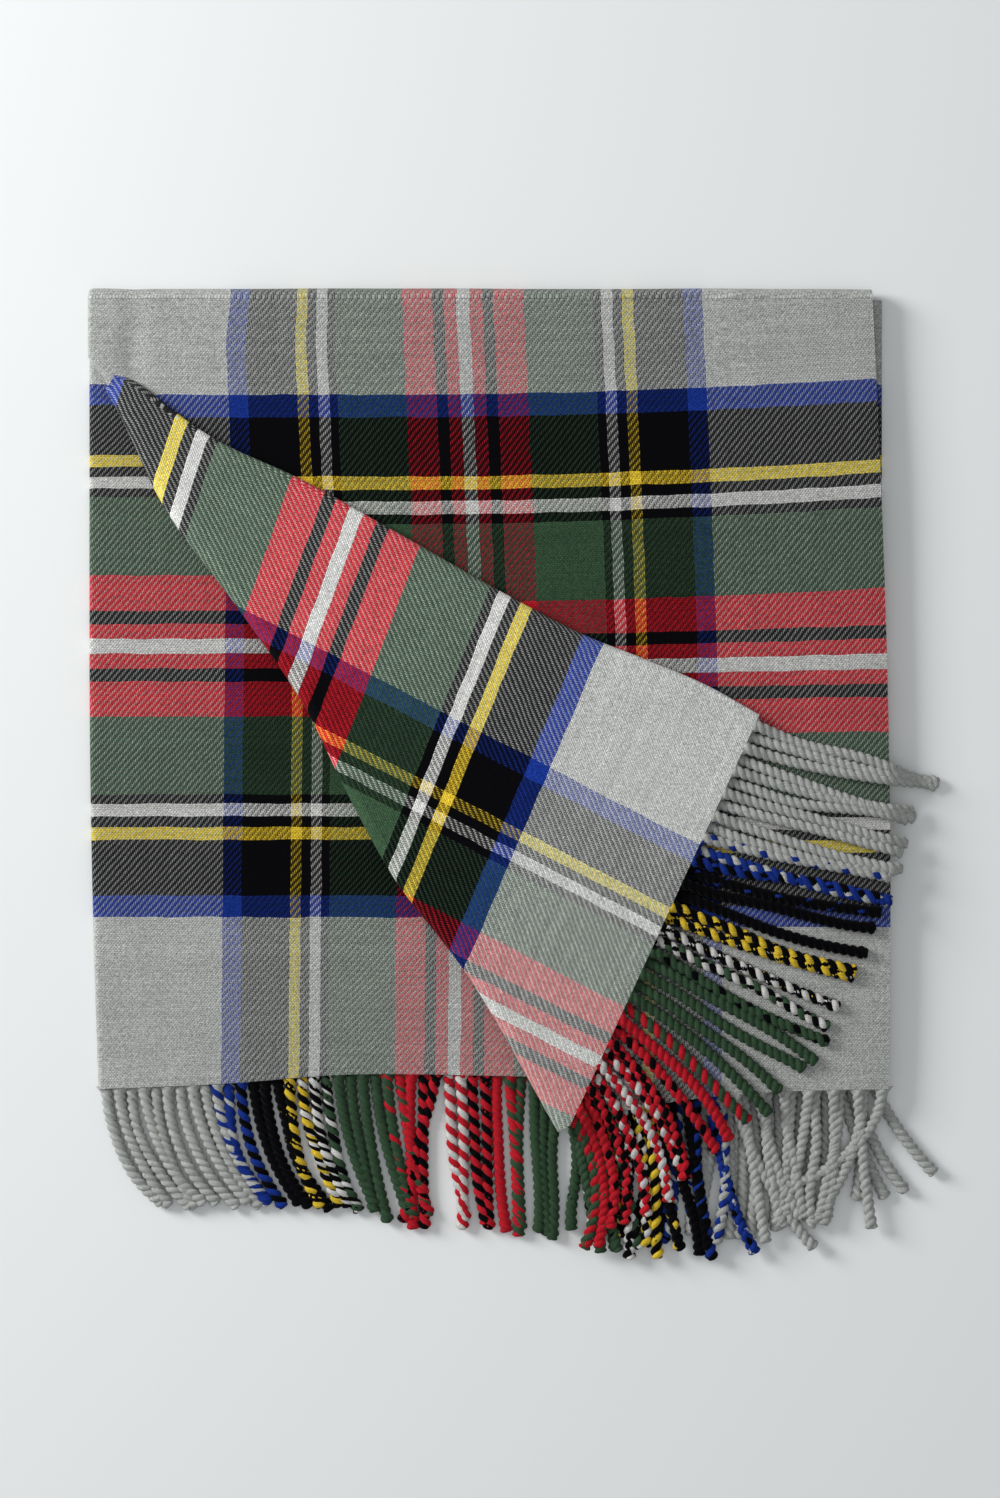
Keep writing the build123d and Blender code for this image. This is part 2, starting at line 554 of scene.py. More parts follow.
second_threads = stack(second_end(second_x, second_y), front_pick(second_x, second_y))
y = upper_y_left[:fold_rows, None]
x = upper_x_left[:fold_rows, None]
closing = 0.2 + 0.8 * ease(y, crease_plan[0][1], crease_plan[0][1] + 25 * mm)
side_points = half_roll(y, x, side_fold_reach * closing, height(2, x, y), height(3, x, y), angles)
side_u = second_end(x, y) + (top_end(x, y) - second_end(x, y)) * np.linspace(0, 1, roll_steps)
side_threads = stack(side_u, front_pick(x, y))
upper_cloth = cloth_mesh(
    "upper_cloth",
    [
        (second_points[:, ::-1], second_threads[:, ::-1]),
        (side_points, side_threads),
        (top_points, top_threads),
    ],
)

# %% [markdown]
# ## The turned corner
# The turned corner is a triangle of two layers, joined by their own stretch of the side fold.
# Its rows are picks: each runs straight from the folded edge to the crease. So the thread count
# of any plan point follows from the two sides of the triangle that meet at the apex, and the
# same formula, carried past the crease, colours the roll as if it were laid out flat.

# %% Threads of the turned corner
tip = np.array([flap_high.x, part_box("corner_edge_fold")[0].y])
edge_way = (tip - apex) / np.hypot(*(tip - apex))
edge_out = np.array([-edge_way[1], edge_way[0]])
flap_point = tip + edge_out * 9.4 * mm
corner_picks = 403
# The turned corner's cloth is painted 1.46 times lighter: painted light for its brighter face.
corner_painted_light = 1.46
edge_points = [
    (0, 8),
    (0.015, 10),
    (0.037, 9),
    (0.075, 4),
    (0.15, -3),
    (0.3, 1),
    (0.45, -1),
    (0.62, -4),
    (0.74, -3.2),
    (0.82, 3),
    (0.92, 9),
    (1, 7.8),
]


def corner_row(x, y):
    """Which pick row a plan point is on, from 0 at the apex to 1 at the hem, and how far across.

    The point is a sum of shares of the triangle's two sides. A row joins the same share of the
    folded edge to a slightly larger one of the crease, which a few rounds of the rule solve.
    """
    sides = np.array([flap_point - apex, crease_foot - apex]).T
    first, second = np.moveaxis(stack(x - apex[0], y - apex[1]) @ np.linalg.inv(sides).T, -1, 0)
    row = first + second
    for _ in range(4):
        row = first + second / (1.1 - 0.1 * row)
    row = np.where(np.abs(row) < 0.004, 0.004, row)
    return row, second / (row * (1.1 - 0.1 * row))


def corner_threads(x, y):
    """U and V on the turned corner: ends from the folded edge, picks from the hem."""
    row, across = corner_row(x, y)
    on_crease = row * (1.1 - 0.1 * row)
    chord = on_crease[..., None] * (crease_foot - apex) - row[..., None] * (flap_point - apex)
    ends = across * np.hypot(chord[..., 0], chord[..., 1]) / end_pitch
    from_hem = (1 - row) * corner_picks
    return stack(fold_end - 1 - ends, picks_along - from_hem + 1e-4 * from_hem**2)


# %% The corner's two layers and the roll that joins them
corner_rows = 118
corner_columns = 62
corner_share = np.linspace(0, 1, corner_rows)
on_crease_share = corner_root + (1 - corner_root) * corner_share * (1.1 - 0.1 * corner_share)
crease_side = crease_start(on_crease_share)
edge_offset = smooth_through(edge_points, corner_share) * mm
edge_side = apex + corner_share[:, None] * (tip - apex) + edge_out * edge_offset[:, None]
across = np.linspace(0, 1, corner_columns)[:, None]
plan = edge_side[:, None] + (crease_side - edge_side)[:, None] * across
corner_x, corner_y = plan[..., 0], plan[..., 1]
flat_threads = corner_threads(corner_x, corner_y)
upper_points = stack(corner_x, corner_y, height(5, corner_x, corner_y))
lower_points = stack(corner_x, corner_y, height(4, corner_x, corner_y))
under_threads = stack(ends_across - flat_threads[..., 0], flat_threads[..., 1])
edge_x, edge_y = edge_side[:, :1], edge_side[:, 1:]
edge_low, edge_high = height(4, edge_x, edge_y), height(5, edge_x, edge_y)
edge_bulge = side_fold_reach * np.cos(angles) * ease(corner_share[:, None], -0.02, 0.05)
edge_points_3d = stack(
    edge_x + edge_out[0] * edge_bulge,
    edge_y + edge_out[1] * edge_bulge,
    (edge_low + edge_high) / 2 - (edge_high - edge_low) / 2 * np.sin(angles),
)
edge_u = flat_threads[:, :1, 0] + (under_threads - flat_threads)[:, :1, 0] * roll_share[::-1]
edge_threads = stack(edge_u, flat_threads[:, :1, 1])
corner_cloth = cloth_mesh(
    "corner_cloth",
    [
        (upper_points[:, ::-1], flat_threads[:, ::-1]),
        (edge_points_3d, edge_threads),
        (lower_points, under_threads),
    ],
    corner_painted_light,
)

# %% [markdown]
# ## Rolls over the crease
# Two rolls carry the cloth over the crease: the inner one from the top layer to the corner's
# lower layer, and the outer one from the second layer to the corner's face. They are pieces of
# their own.

# %% The inner and the outer crease roll
crease_rows = 150
crease_steps = 17
crease_angles = np.linspace(-np.pi / 2, np.pi / 2, crease_steps)
crease_row_share = corner_root + (1 - corner_root) * np.linspace(0, 1, crease_rows) ** 1.3


def crease_roll(name, low_level, high_level, inside, threads):
    """A half ellipse along the crease line, from one level up to another.

    The plan point is the line's own point plus the reach times cosine outwards. The threads are
    those of the flat cloth at the arc length that is left to the roll's upper end.
    """
    base = crease_start(crease_row_share)
    reach = np.maximum(roll_reach(crease_row_share) - inside, 1.0 * mm)
    low = height(low_level, base[:, 0], base[:, 1])
    high = height(high_level, base[:, 0], base[:, 1])
    out = reach[:, None] * np.cos(crease_angles)
    z = (low + high)[:, None] / 2 + (high - low)[:, None] / 2 * np.sin(crease_angles)
    x = base[:, :1] + crease_out[0] * out
    y = base[:, 1:] + crease_out[1] * out
    step = np.hypot(np.diff(out, axis=1), np.diff(z, axis=1))
    arc = np.concatenate([np.zeros((crease_rows, 1)), np.cumsum(step, axis=1)], axis=1)
    past = arc[:, -1:] - arc if high_level == 5 else arc
    flat_x = base[:, :1] + crease_out[0] * past
    flat_y = base[:, 1:] + crease_out[1] * past
    # The roll onto the turned corner's face gets the corner's painted light.
    painted_lightness = corner_painted_light if high_level == 5 else 1.0
    return cloth_mesh(name, [(stack(x, y, z), threads(flat_x, flat_y))], painted_lightness)


def top_threads_at(x, y):
    """U and V of the top layer at a plan point."""
    return stack(top_end(x, y), front_pick(x, y))


crease_roll_outer = crease_roll("crease_roll_outer", 2, 5, 0, corner_threads)
crease_roll_inner = crease_roll("crease_roll_inner", 3, 4, 8.4 * mm, top_threads_at)

# %% [markdown]
# ## Rolls at the back
# At the back the folded panel was folded once more. The inner roll joins the third layer to the
# second, and the outer one goes round it, from the bottom layer to the top. The side fold runs
# on between them, so the outer roll's left end curls in to meet the inner one.

# %% The inner and the outer back roll
back_angles = np.linspace(-np.pi / 2, np.pi / 2, 15)[:, None]
back_share = np.linspace(0, 1, upper_columns)
back_pick = third_pick(np.array(back_line))


def back_roll(low_level, high_level, x):
    """Points of a roll along the back: y is the fold's line plus the half gap times cosine."""
    low = height(low_level, x, back_line)
    high = height(high_level, x, back_line)
    half = (high - low) / 2
    y = back_line + half * np.cos(back_angles)
    return stack(x + 0 * back_angles, y, (low + high) / 2 + half * np.sin(back_angles))


back_left_x = upper_x_left[0]
outer_top_x = back_left_x + (selvedge_x(back_line) - back_left_x) * back_share
inner_x = back_left_x + (selvedge_x(back_line) - 3 * mm - back_left_x) * back_share
outer_points = back_roll(0, 3, outer_top_x)
inner_points = back_roll(1, 2, inner_x)
roll_picks = 12 * (np.sin(back_angles) + 1) / 2
front_at_back = front_pick(outer_top_x, back_line)
outer_v = front_at_back - 15 * (1 - np.sin(back_angles)) / 2
outer_threads = stack(top_end(outer_top_x, back_line), outer_v)
inner_v = back_pick + roll_picks
inner_threads = stack(third_end(inner_x, back_line), inner_v)
curl = np.linspace(0, 1, 8)[1:-1]
outer_end, inner_end = outer_points[:, :1], inner_points[:, :1]
curl_points = outer_end + (inner_end - outer_end) * ((1 - np.cos(np.pi * curl)) / 2)[:, None]
curl_points[..., 0] -= side_fold_reach * np.sin(np.pi * curl)
curl_threads = outer_threads[:, :1] - np.array([6, 0]) * curl[:, None]
outer_grid = np.concatenate([inner_end, curl_points[:, ::-1], outer_points], axis=1)
outer_uv = np.concatenate([curl_threads[:, -1:], curl_threads[:, ::-1], outer_threads], axis=1)
back_roll_outer = cloth_mesh("back_roll_outer", [(outer_grid, outer_uv)])
back_roll_inner = cloth_mesh("back_roll_inner", [(inner_points, inner_threads)])

# %% [markdown]
# ## Tassels
# Each tassel takes fifteen warp ends, gathers them at the hem and twists them into two plies that
# are laid round each other. A curve with a bevel would give a plain rope, so each ply is a tube
# of its own that winds round the tassel's line. The layers that lie face up are twisted one way,
# and those that lie face down show the other way. A row of tassels is one mesh.

# %% Sizes of a tassel
tassel_ends = 15
ply_offset = 1.6 * mm
ply_radius = 4.1 * mm
ply_sides = 8
tassel_lay = 15.5 * mm
yarn_lay = 27 * mm
stations = 92
gather_length = 11 * mm
gather_sides = 10
gather_rings = 6
gather_start = 2.5 * mm
drop_length = 30 * mm
tassel_v_step = 1.5 * mm
floor_clearance = 0.9 * mm
tassel_flatness = 0.65
tassel_radius = tassel_flatness * (ply_offset + ply_radius)
pile_top_gap = cloth_thickness / 2 + tassel_radius


def tassel_paths(roots, headings, lengths, rest_height, root_height):
    """Centre lines of shape tassel, station, 3.

    The plan line starts at the root and adds up short steps along the heading at each station.
    Its height eases from the root's to what the tassel lies on, over the drop length.
    """
    step = lengths[:, None] / (stations - 1)
    walk_x = np.cumsum(np.cos(headings) * step, axis=1) - np.cos(headings) * step
    walk_y = np.cumsum(np.sin(headings) * step, axis=1) - np.sin(headings) * step
    x = roots[:, :1] + walk_x
    y = roots[:, 1:] + walk_y
    gone = lengths[:, None] * np.linspace(0, 1, stations)
    rest = rest_height(x, y)
    z = rest + (root_height[:, None] - rest) * (1 - ease(gone, 0, drop_length))
    return stack(x, y, z)


def tube_faces(tubes, rings, sides):
    """Face corners, face sizes and UV numbers of closed tubes, each rings by sides points.

    The UV grid has one more column than the tube has sides, so that the yarns do not run
    backwards across the last side.
    """
    ring = np.arange(rings)[:, None]
    side = np.arange(sides + 1)
    point = ring * sides + side % sides
    spot = ring * (sides + 1) + side
    near, far = slice(None, -1), slice(1, None)
    four = [(near, near), (near, far), (far, far), (far, near)]
    quad_points = np.stack([point[pair] for pair in four], axis=-1).reshape(-1, 4)
    quad_spots = np.stack([spot[pair] for pair in four], axis=-1).reshape(-1, 4)
    caps = np.concatenate([np.arange(sides)[::-1], (rings - 1) * sides + np.arange(sides)])
    cap_spots = np.concatenate([np.arange(sides)[::-1], (rings - 1) * (sides + 1) + np.arange(sides)])
    one_points = np.concatenate([quad_points.ravel(), caps])
    one_spots = np.concatenate([quad_spots.ravel(), cap_spots])
    one_sizes = np.concatenate([np.full(len(quad_points), 4), [sides, sides]])
    number = np.arange(tubes)[:, None]
    corners = (one_points + number * rings * sides).ravel()
    spots = (one_spots + number * rings * (sides + 1)).ravel()
    return corners, spots, np.tile(one_sizes, tubes)


def plies(paths, headings, lengths, first_ends, twist, turn_start):
    """Two tubes round each path: the path, plus the ply's offset, plus the tube's own circle.

    The offset turns once each lay; the circle keeps its direction, as laid yarn does. Both are
    flattened, because the tassel is soft and lies on something. The tip swells a little and then
    closes, as a cut wool end does. The yarns turn round inside their ply, so a ply with two
    colours shows them in flecks: the yarn number goes up and down again once round the tube.
    """
    gone = lengths[:, None] * np.linspace(0, 1, stations)
    normal = stack(-np.sin(headings), np.cos(headings), 0)[:, None, :, None]
    upward = np.array([0, 0, tassel_flatness])
    ply = np.array([0, np.pi])[None, :, None]
    turn = turn_start[:, None, None] + ply + twist * 2 * np.pi * gone[:, None] / tassel_lay
    left = lengths[:, None] - gone
    swelling = 1 + 0.16 * np.exp(-(((left - 5 * mm) / (4 * mm)) ** 2)) - 0.55 * ease(-left, -1.5 * mm, 0)
    offset = ply_offset * (1 + 0.25 * np.exp(-left / (6 * mm)))[:, None]
    middle = paths[:, None, :, None] + offset[..., None, None] * (
        np.cos(turn)[..., None, None] * normal + np.sin(turn)[..., None, None] * upward
    )
    around = 2 * np.pi * np.arange(ply_sides)[:, None] / ply_sides
    circle = np.cos(around) * normal + np.sin(around) * upward
    points = middle + (ply_radius * swelling)[:, None, :, None, None] * circle
    yarn_turn = np.arange(ply_sides + 1) / ply_sides + (gone / yarn_lay)[:, None, :, None]
    yarn_share = np.abs(2 * (yarn_turn % 1) - 1)
    end_number = first_ends[:, None, None, None] + tassel_ends / 2 * (
        np.arange(2)[None, :, None, None] + yarn_share
    )
    uv = stack(end_number, (gone / tassel_v_step)[:, None, :, None])
    return points.reshape(-1, 3), uv.reshape(-1, 2), 2 * len(paths)


def gathers(paths, lengths, hem_way, first_ends):
    """A flat funnel for each tassel, from the fifteen ends' width at the hem to the tassel's.

    Its section is an ellipse. The wide axis turns from the hem's direction to the tassel's
    side, and shrinks with the way gone to the power 1.7.
    """
    share = np.linspace(0, 1, gather_rings)
    gone = -gather_start + (gather_length + gather_start) * share
    station = np.clip(gone / (lengths[:, None] / (stations - 1)), 0, stations - 1)
    low = np.floor(station).astype(int)
    low = np.minimum(low, stations - 2)
    part = (station - low)[..., None]
    row = np.arange(len(paths))[:, None]
    centre = paths[row, low] * (1 - part) + paths[row, low + 1] * part
    way = paths[:, 3] - paths[:, 0]
    way = way / np.linalg.norm(way, axis=1, keepdims=True)
    centre = centre + way[:, None] * np.minimum(gone, 0)[:, None]
    side = np.stack([-way[:, 1], way[:, 0], 0 * way[:, 0]], axis=1)
    hem = np.array([hem_way[0], hem_way[1], 0.0])
    hem = hem * np.sign(side @ hem)[:, None]
    wide_way = hem[:, None] * (1 - share)[:, None] + side[:, None] * share[:, None]
    wide = 3.0 * mm + 7.3 * mm * (1 - share) ** 1.7
    high = 1.5 * mm + 1.5 * mm * share
    around = (2 * np.pi * np.arange(gather_sides) / gather_sides)[:, None]
    across = wide_way[:, :, None] * (np.cos(around) * wide[:, None, None])
    points = centre[:, :, None] + across + np.sin(around) * np.array([0, 0, 1.0]) * high[:, None, None]
    round_uv = 2 * np.pi * np.arange(gather_sides + 1) / gather_sides
    end_number = first_ends[:, None, None] + tassel_ends * (0.5 + 0.5 * np.cos(round_uv))
    uv = stack(end_number, (gone / tassel_v_step)[:, None])
    return points.reshape(-1, 3), uv.reshape(-1, 2), len(paths)


def fringe(name, roots, first, last, lengths, ends, twist, hem_way, root_z, rest_height, seed):
    """One row of tassels. first and last are each tassel's heading at its root and at its tip."""
    random = np.random.default_rng(seed)
    count = len(roots)
    along = np.linspace(0, 1, stations)
    first = first + random.normal(0, 0.045, count)
    last = last + random.normal(0, 0.08, count)
    wander = random.normal(0, 0.07, (count, 1)) * np.sin(
        2 * np.pi * (along * random.uniform(0.7, 1.5, (count, 1)) + random.uniform(0, 1, (count, 1)))
    )
    headings = first[:, None] + (last - first)[:, None] * along + wander * ease(along, 0, 0.3)
    lengths = lengths * random.uniform(0.96, 1.04, count)
    raised = random.uniform(0, 1.2 * mm, (count, 1)) * np.linspace(0, 1, stations)
    paths = tassel_paths(roots, headings, lengths, rest_height, root_z)
    paths[..., 2] += raised
    first_ends = ends - tassel_ends / 2
    starts = random.uniform(0, 2 * np.pi, count)
    strands, strand_uv, tubes = plies(paths, headings, lengths, first_ends, twist, starts)
    corners, spots, sizes = tube_faces(tubes, stations, ply_sides)
    funnels, funnel_uv, funnel_count = gathers(paths, lengths, hem_way, first_ends)
    more_corners, more_spots, more_sizes = tube_faces(funnel_count, gather_rings, gather_sides)
    points = np.concatenate([strands, funnels])
    uv = np.concatenate([strand_uv[spots], funnel_uv[more_spots]])
    corners = np.concatenate([corners, more_corners + len(strands)])
    piece = mesh_from_faces(name, points, corners, np.concatenate([sizes, more_sizes]), uv)
    print(name, "has", count, "tassels,", len(sizes) + len(more_sizes), "faces")
    return piece


# %% [markdown]
# ## What the tassels lie on
# A tassel of the lower rows lies on the floor. One of the upper rows comes down off the hem and
# lies across the lower ones. Those of the turned corner lie on the top layer, and hang over the
# pile's edge where they reach past it.


# %% Resting heights
def on_floor(x, y):
    """Just clear of the surface that the throw lies on."""
    return 0 * x + tassel_radius + floor_clearance


def on_first_row(x, y):
    """Across the lowest row."""
    return on_floor(x, y) + 0.4 * mm


def on_lower_rows(x, y):
    """Across both lower rows, and nearer the floor further out."""
    return on_floor(x, y) + 7.5 * mm - 3 * mm * ease(hem_line - y, 30 * mm, 130 * mm)


def on_pile(x, y):
    """On the top layer inside the pile, and down past its right edge and its hem."""
    inside_right = ease(selvedge_x(np.maximum(y, hem_line)) - x, -38 * mm, 6 * mm)
    inside_hem = ease(y - hem_line, -70 * mm, -4 * mm)
    low = on_floor(x, y) + 8 * mm * ease(selvedge_x(y) - x, -10 * mm, 20 * mm)
    top = height(3, x, np.maximum(y, hem_line)) + pile_top_gap
    return low + (top - low) * inside_right * inside_hem


# %% [markdown]
# ## The lower fringes
# The two lower rows come off one hem and the hem below it, so their tassels lie side by side. At
# the left they swing to the right, and one or two in the middle cross their neighbours.

# %% Third and bottom rows
lower_tassels = 32
right_headings = [(0, 48), (0.2, 38), (0.35, 16), (0.45, 4), (0.6, 0), (1, 0)]
lower_lengths = [(0, 124), (0.2, 130), (0.4, 142), (0.6, 150), (0.9, 130), (1, 100)]


def hem_row(name, level, phase, last_turns, twist, ends_at, y, rest_height, seed):
    """A lower row: roots evenly along the hem, first heading straight off it, tips swung right."""
    share = (np.arange(lower_tassels) + phase) / lower_tassels
    left = side_fold_x(np.array(y)) - side_fold_reach
    x = left + (right_edge - 2 * mm - left) * share
    roots = stack(x, y + hem_curve(x, y))
    swing = np.radians(smooth_through(right_headings, share))
    first = -np.pi / 2 + 0.1 * swing
    last = -np.pi / 2 + swing
    for place, turn in last_turns.items():
        last[place] = np.radians(turn)
        first[place] = (first[place] + last[place]) / 2
    lengths = smooth_through(lower_lengths, share) * mm
    root_z = np.maximum(height(level, x, y + 0 * x) - 1.2 * mm, tassel_radius + floor_clearance)
    hem_way = np.array([1.0, 0.0])
    ends = ends_at(x)
    return fringe(name, roots, first, last, lengths, ends, twist, hem_way, root_z, rest_height, seed)


third_hem = hem_line + 1 * mm
third_fringe = hem_row(
    "third_tassels",
    1,
    0.75,
    {13: -104, 30: -52, 31: -40},
    -1,
    lambda x: third_end(x, third_hem),
    third_hem,
    on_first_row,
    21,
)
bottom_fringe = hem_row(
    "bottom_tassels",
    0,
    0.25,
    {13: -97, 30: -64},
    -1,
    lambda x: third_end(x, third_hem),
    third_hem,
    on_floor,
    22,
)

# %% [markdown]
# ## The upper fringes
# The hem of the two upper layers curves down to the crease's foot. At its right end a few long
# tassels lie in curves of their own, so each tassel of these rows has its own pair of headings.

# %% Top and second rows
top_first = [-80, -82, -84, -86, -86, -86, -83, -84, -89, -92, -90, -88, -92]
top_last = [-78, -80, -84, -80, -76, -62, -40, -58, -76, -108, -96, -82, -182]
top_long = [128, 130, 135, 140, 145, 150, 170, 128, 118, 120, 132, 136, 150]
second_first = [-82, -84, -86, -86, -86, -86, -86, -86, -90, -90, -90, -92, -94]
second_last = [-80, -84, -92, -88, -80, -74, -98, -84, -70, -100, -92, -104, -132]
second_long = [130, 132, 138, 142, 146, 150, 148, 140, 135, 132, 128, 130, 148]


def front_row(name, level, phase, first, last, long, ends_at, rest_height, seed):
    """An upper row: roots along the curved hem, from the crease's foot to the selvedge."""
    count = len(first)
    share = (np.arange(count) + phase) / count
    hem_x = top_x[-1] if level == 3 else second_x[-1]
    hem_y = top_y[-1] if level == 3 else second_y[-1]
    x = hem_x[0] + (hem_x[-1] - hem_x[0]) * share
    y = np.interp(x, hem_x, hem_y)
    first, last = np.radians(first), np.radians(last)
    lengths = np.array(long) * mm
    hem_way = np.array([1.0, 0.05])
    root_z = height(level, x, y)
    ends = ends_at(x, y)
    roots = stack(x, y)
    return fringe(name, roots, first, last, lengths, ends, 1, hem_way, root_z, rest_height, seed)


top_fringe = front_row(
    "top_tassels", 3, 0.75, top_first, top_last, top_long, top_end, on_lower_rows, 31
)
second_fringe = front_row(
    "second_tassels", 2, 0.25, second_first, second_last, second_long, second_end, on_lower_rows, 32
)

# %% [markdown]
# ## The turned corner's fringes
# Round the corner the tassels fan out: nearly level at the tip, and straight down at the foot of
# the crease. The last few at the foot lie across the crease line, so they are a piece of their
# own.

# %% Upper and lower rows of the corner
fan = [
    (0, -15),
    (0.15, -15),
    (0.3, -12),
    (0.42, -14),
    (0.5, -22),
    (0.6, -31),
    (0.7, -43),
    (0.8, -59),
    (0.9, -75),
    (1, -86),
]
fan_lengths = [(0, 182), (0.15, 182), (0.3, 188), (0.45, 184), (0.6, 182), (0.7, 168), (0.8, 153), (1, 128)]
square_off = -25
corner_hem_x = plan[-1, :, 0]
corner_hem_y = plan[-1, :, 1]
corner_tassels = 18
foot_tassels = 4


def corner_fringe(name, level, phase, picked, mirrored, seed):
    """Part of a corner row: picked is a slice of its tassels, from the tip to the foot."""
    share = ((np.arange(corner_tassels) + phase) / corner_tassels)[picked]
    x = np.interp(share, across[:, 0], corner_hem_x)
    y = np.interp(share, across[:, 0], corner_hem_y)
    mean = smooth_through(fan, share)
    bend = 0.42 * (mean - square_off)
    ends = corner_threads(x, y)[..., 0]
    ends = ends_across - ends if mirrored else ends
    hem_way = (crease_foot - tip) / np.hypot(*(crease_foot - tip))
    return fringe(
        name,
        stack(x, y),
        np.radians(mean - bend),
        np.radians(mean + bend),
        smooth_through(fan_lengths, share) * mm,
        ends,
        1,
        hem_way,
        height(level, x, y),
        on_pile,
        seed,
    )


main_tassels = corner_tassels - foot_tassels
main_part, foot_part = slice(0, main_tassels), slice(main_tassels, corner_tassels)
corner_upper_fringe = corner_fringe("corner_upper_tassels", 5, 0.25, main_part, False, 41)
corner_lower_fringe = corner_fringe("corner_lower_tassels", 4, 0.75, main_part, True, 42)
foot_upper_fringe = corner_fringe("foot_upper_tassels", 5, 0.25, foot_part, False, 43)
foot_lower_fringe = corner_fringe("foot_lower_tassels", 4, 0.75, foot_part, True, 44)

# %% [markdown]
# ## Colour of a thread
# The stripes are the same in warp and weft. A thread's distance from its white pivot picks its
# colour from a ramp with hard steps. The node trees are long sums, so a small helper writes each
# step of arithmetic as one line.

# %% Stripe colours and node arithmetic
yarn_colours = {
    "white": (0.68, 0.67, 0.645),
    "red": (0.56, 0.014, 0.026),
    "black": (0.001, 0.001, 0.002),
    "green": (0.040, 0.083, 0.043),
    "yellow": (0.78, 0.54, 0.04),
    "blue": (0.009, 0.034, 0.260),
    "grey": (0.475, 0.485, 0.465),
}


class Recipe:
    """Writes shader arithmetic into a material, one node for each step."""

    def __init__(self, material):
        self.tree = material.node_tree
        self.link = material.node_tree.links.new

    def node(self, kind, **settings):
        """A new node with its settings."""
        made = self.tree.nodes.new(kind)
        for key, value in settings.items():
            setattr(made, key, value)
        return made

    def feed(self, socket, value):
        """A socket takes a number, a colour or another node's output."""
        if isinstance(value, bpy.types.NodeSocket):
            self.link(value, socket)
        else:
            socket.default_value = value

    def math(self, operation, *values):
        """The result of one arithmetic step."""
        made = self.node("ShaderNodeMath", operation=operation)
        for socket, value in zip(made.inputs, values):
            self.feed(socket, value)
        return made.outputs[0]

    def mix(self, amount, first, second, blend="MIX"):
        """One colour laid on another by an amount."""
        made = self.node("ShaderNodeMix", data_type="RGBA", blend_type=blend)
        self.feed(made.inputs[0], amount)
        self.feed(made.inputs[6], first)
        self.feed(made.inputs[7], second)
        return made.outputs[2]

    def noise(self, where, scale, detail=2.0):
        """Soft noise about one half, at a scale in repeats per unit."""
        made = self.node("ShaderNodeTexNoise", noise_dimensions="3D")
        self.feed(made.inputs["Vector"], where)
        made.inputs["Scale"].default_value = scale
        made.inputs["Detail"].default_value = detail
        return made.outputs[0]

    def thread_numbers(self):
        """U and V of the threads map: which end and which pick a point is on."""
        threads = self.node("ShaderNodeSeparateXYZ")
        self.link(self.node("ShaderNodeUVMap", uv_map="threads").outputs[0], threads.inputs[0])
        return threads.outputs[0], threads.outputs[1]

    def chance(self, thread):
        """A random number from 0 to 1 for each thread."""
        made = self.node("ShaderNodeTexWhiteNoise", noise_dimensions="1D")
        self.feed(made.inputs["W"], thread)
        return made.outputs[0]

    def vary(self, shade, least, amount, pattern):
        """The shade times a number that goes from least up by the amount, with the pattern."""
        factor = self.math("ADD", least, self.math("MULTIPLY", pattern, amount))
        return self.math("MULTIPLY", shade, factor)

    def shaded(self, colour, shade):
        """A colour made darker or lighter by one number."""
        made = self.node("ShaderNodeCombineColor")
        for socket in made.inputs:
            self.feed(socket, shade)
        return self.mix(1.0, colour, made.outputs[0], "MULTIPLY")

    def stripe(self, thread, middle, pivot):
        """The colour of a thread: its distance from the pivot, looked up in the stripes."""
        from_middle = self.math("ABSOLUTE", self.math("SUBTRACT", thread, middle))
        from_pivot = self.math("ABSOLUTE", self.math("SUBTRACT", from_middle, pivot))
        ramp = self.node("ShaderNodeValToRGB")
        ramp.color_ramp.interpolation = "CONSTANT"
        reached = 0
        for number, (colour, count) in enumerate(stripes):
            if number < 2:
                stop = ramp.color_ramp.elements[number]
                stop.position = reached / ramp_span
            else:
                stop = ramp.color_ramp.elements.new(reached / ramp_span)
            stop.color = (*yarn_colours[colour], 1)
            reached += count
        centred = self.math("ADD", from_pivot, ramp_span / ramp_samples / 2)
        self.feed(ramp.inputs[0], self.math("DIVIDE", centred, ramp_span))
        return ramp.outputs[0]


def wool_shader(recipe, colour, relief, depth, sheen):
    """The wool's surface: matt, with a soft sheen, and a bump from the relief in metres."""
    shader = recipe.tree.nodes["Principled BSDF"]
    recipe.feed(shader.inputs["Base Color"], colour)
    shader.inputs["Roughness"].default_value = 0.92
    shader.inputs["Specular IOR Level"].default_value = 0.06
    shader.inputs["Sheen Weight"].default_value = sheen
    shader.inputs["Sheen Roughness"].default_value = 0.45
    bump = recipe.node("ShaderNodeBump")
    bump.inputs["Strength"].default_value = 0.85
    bump.inputs["Distance"].default_value = depth
    recipe.feed(bump.inputs["Height"], relief)
    recipe.link(bump.outputs[0], shader.inputs["Normal"])
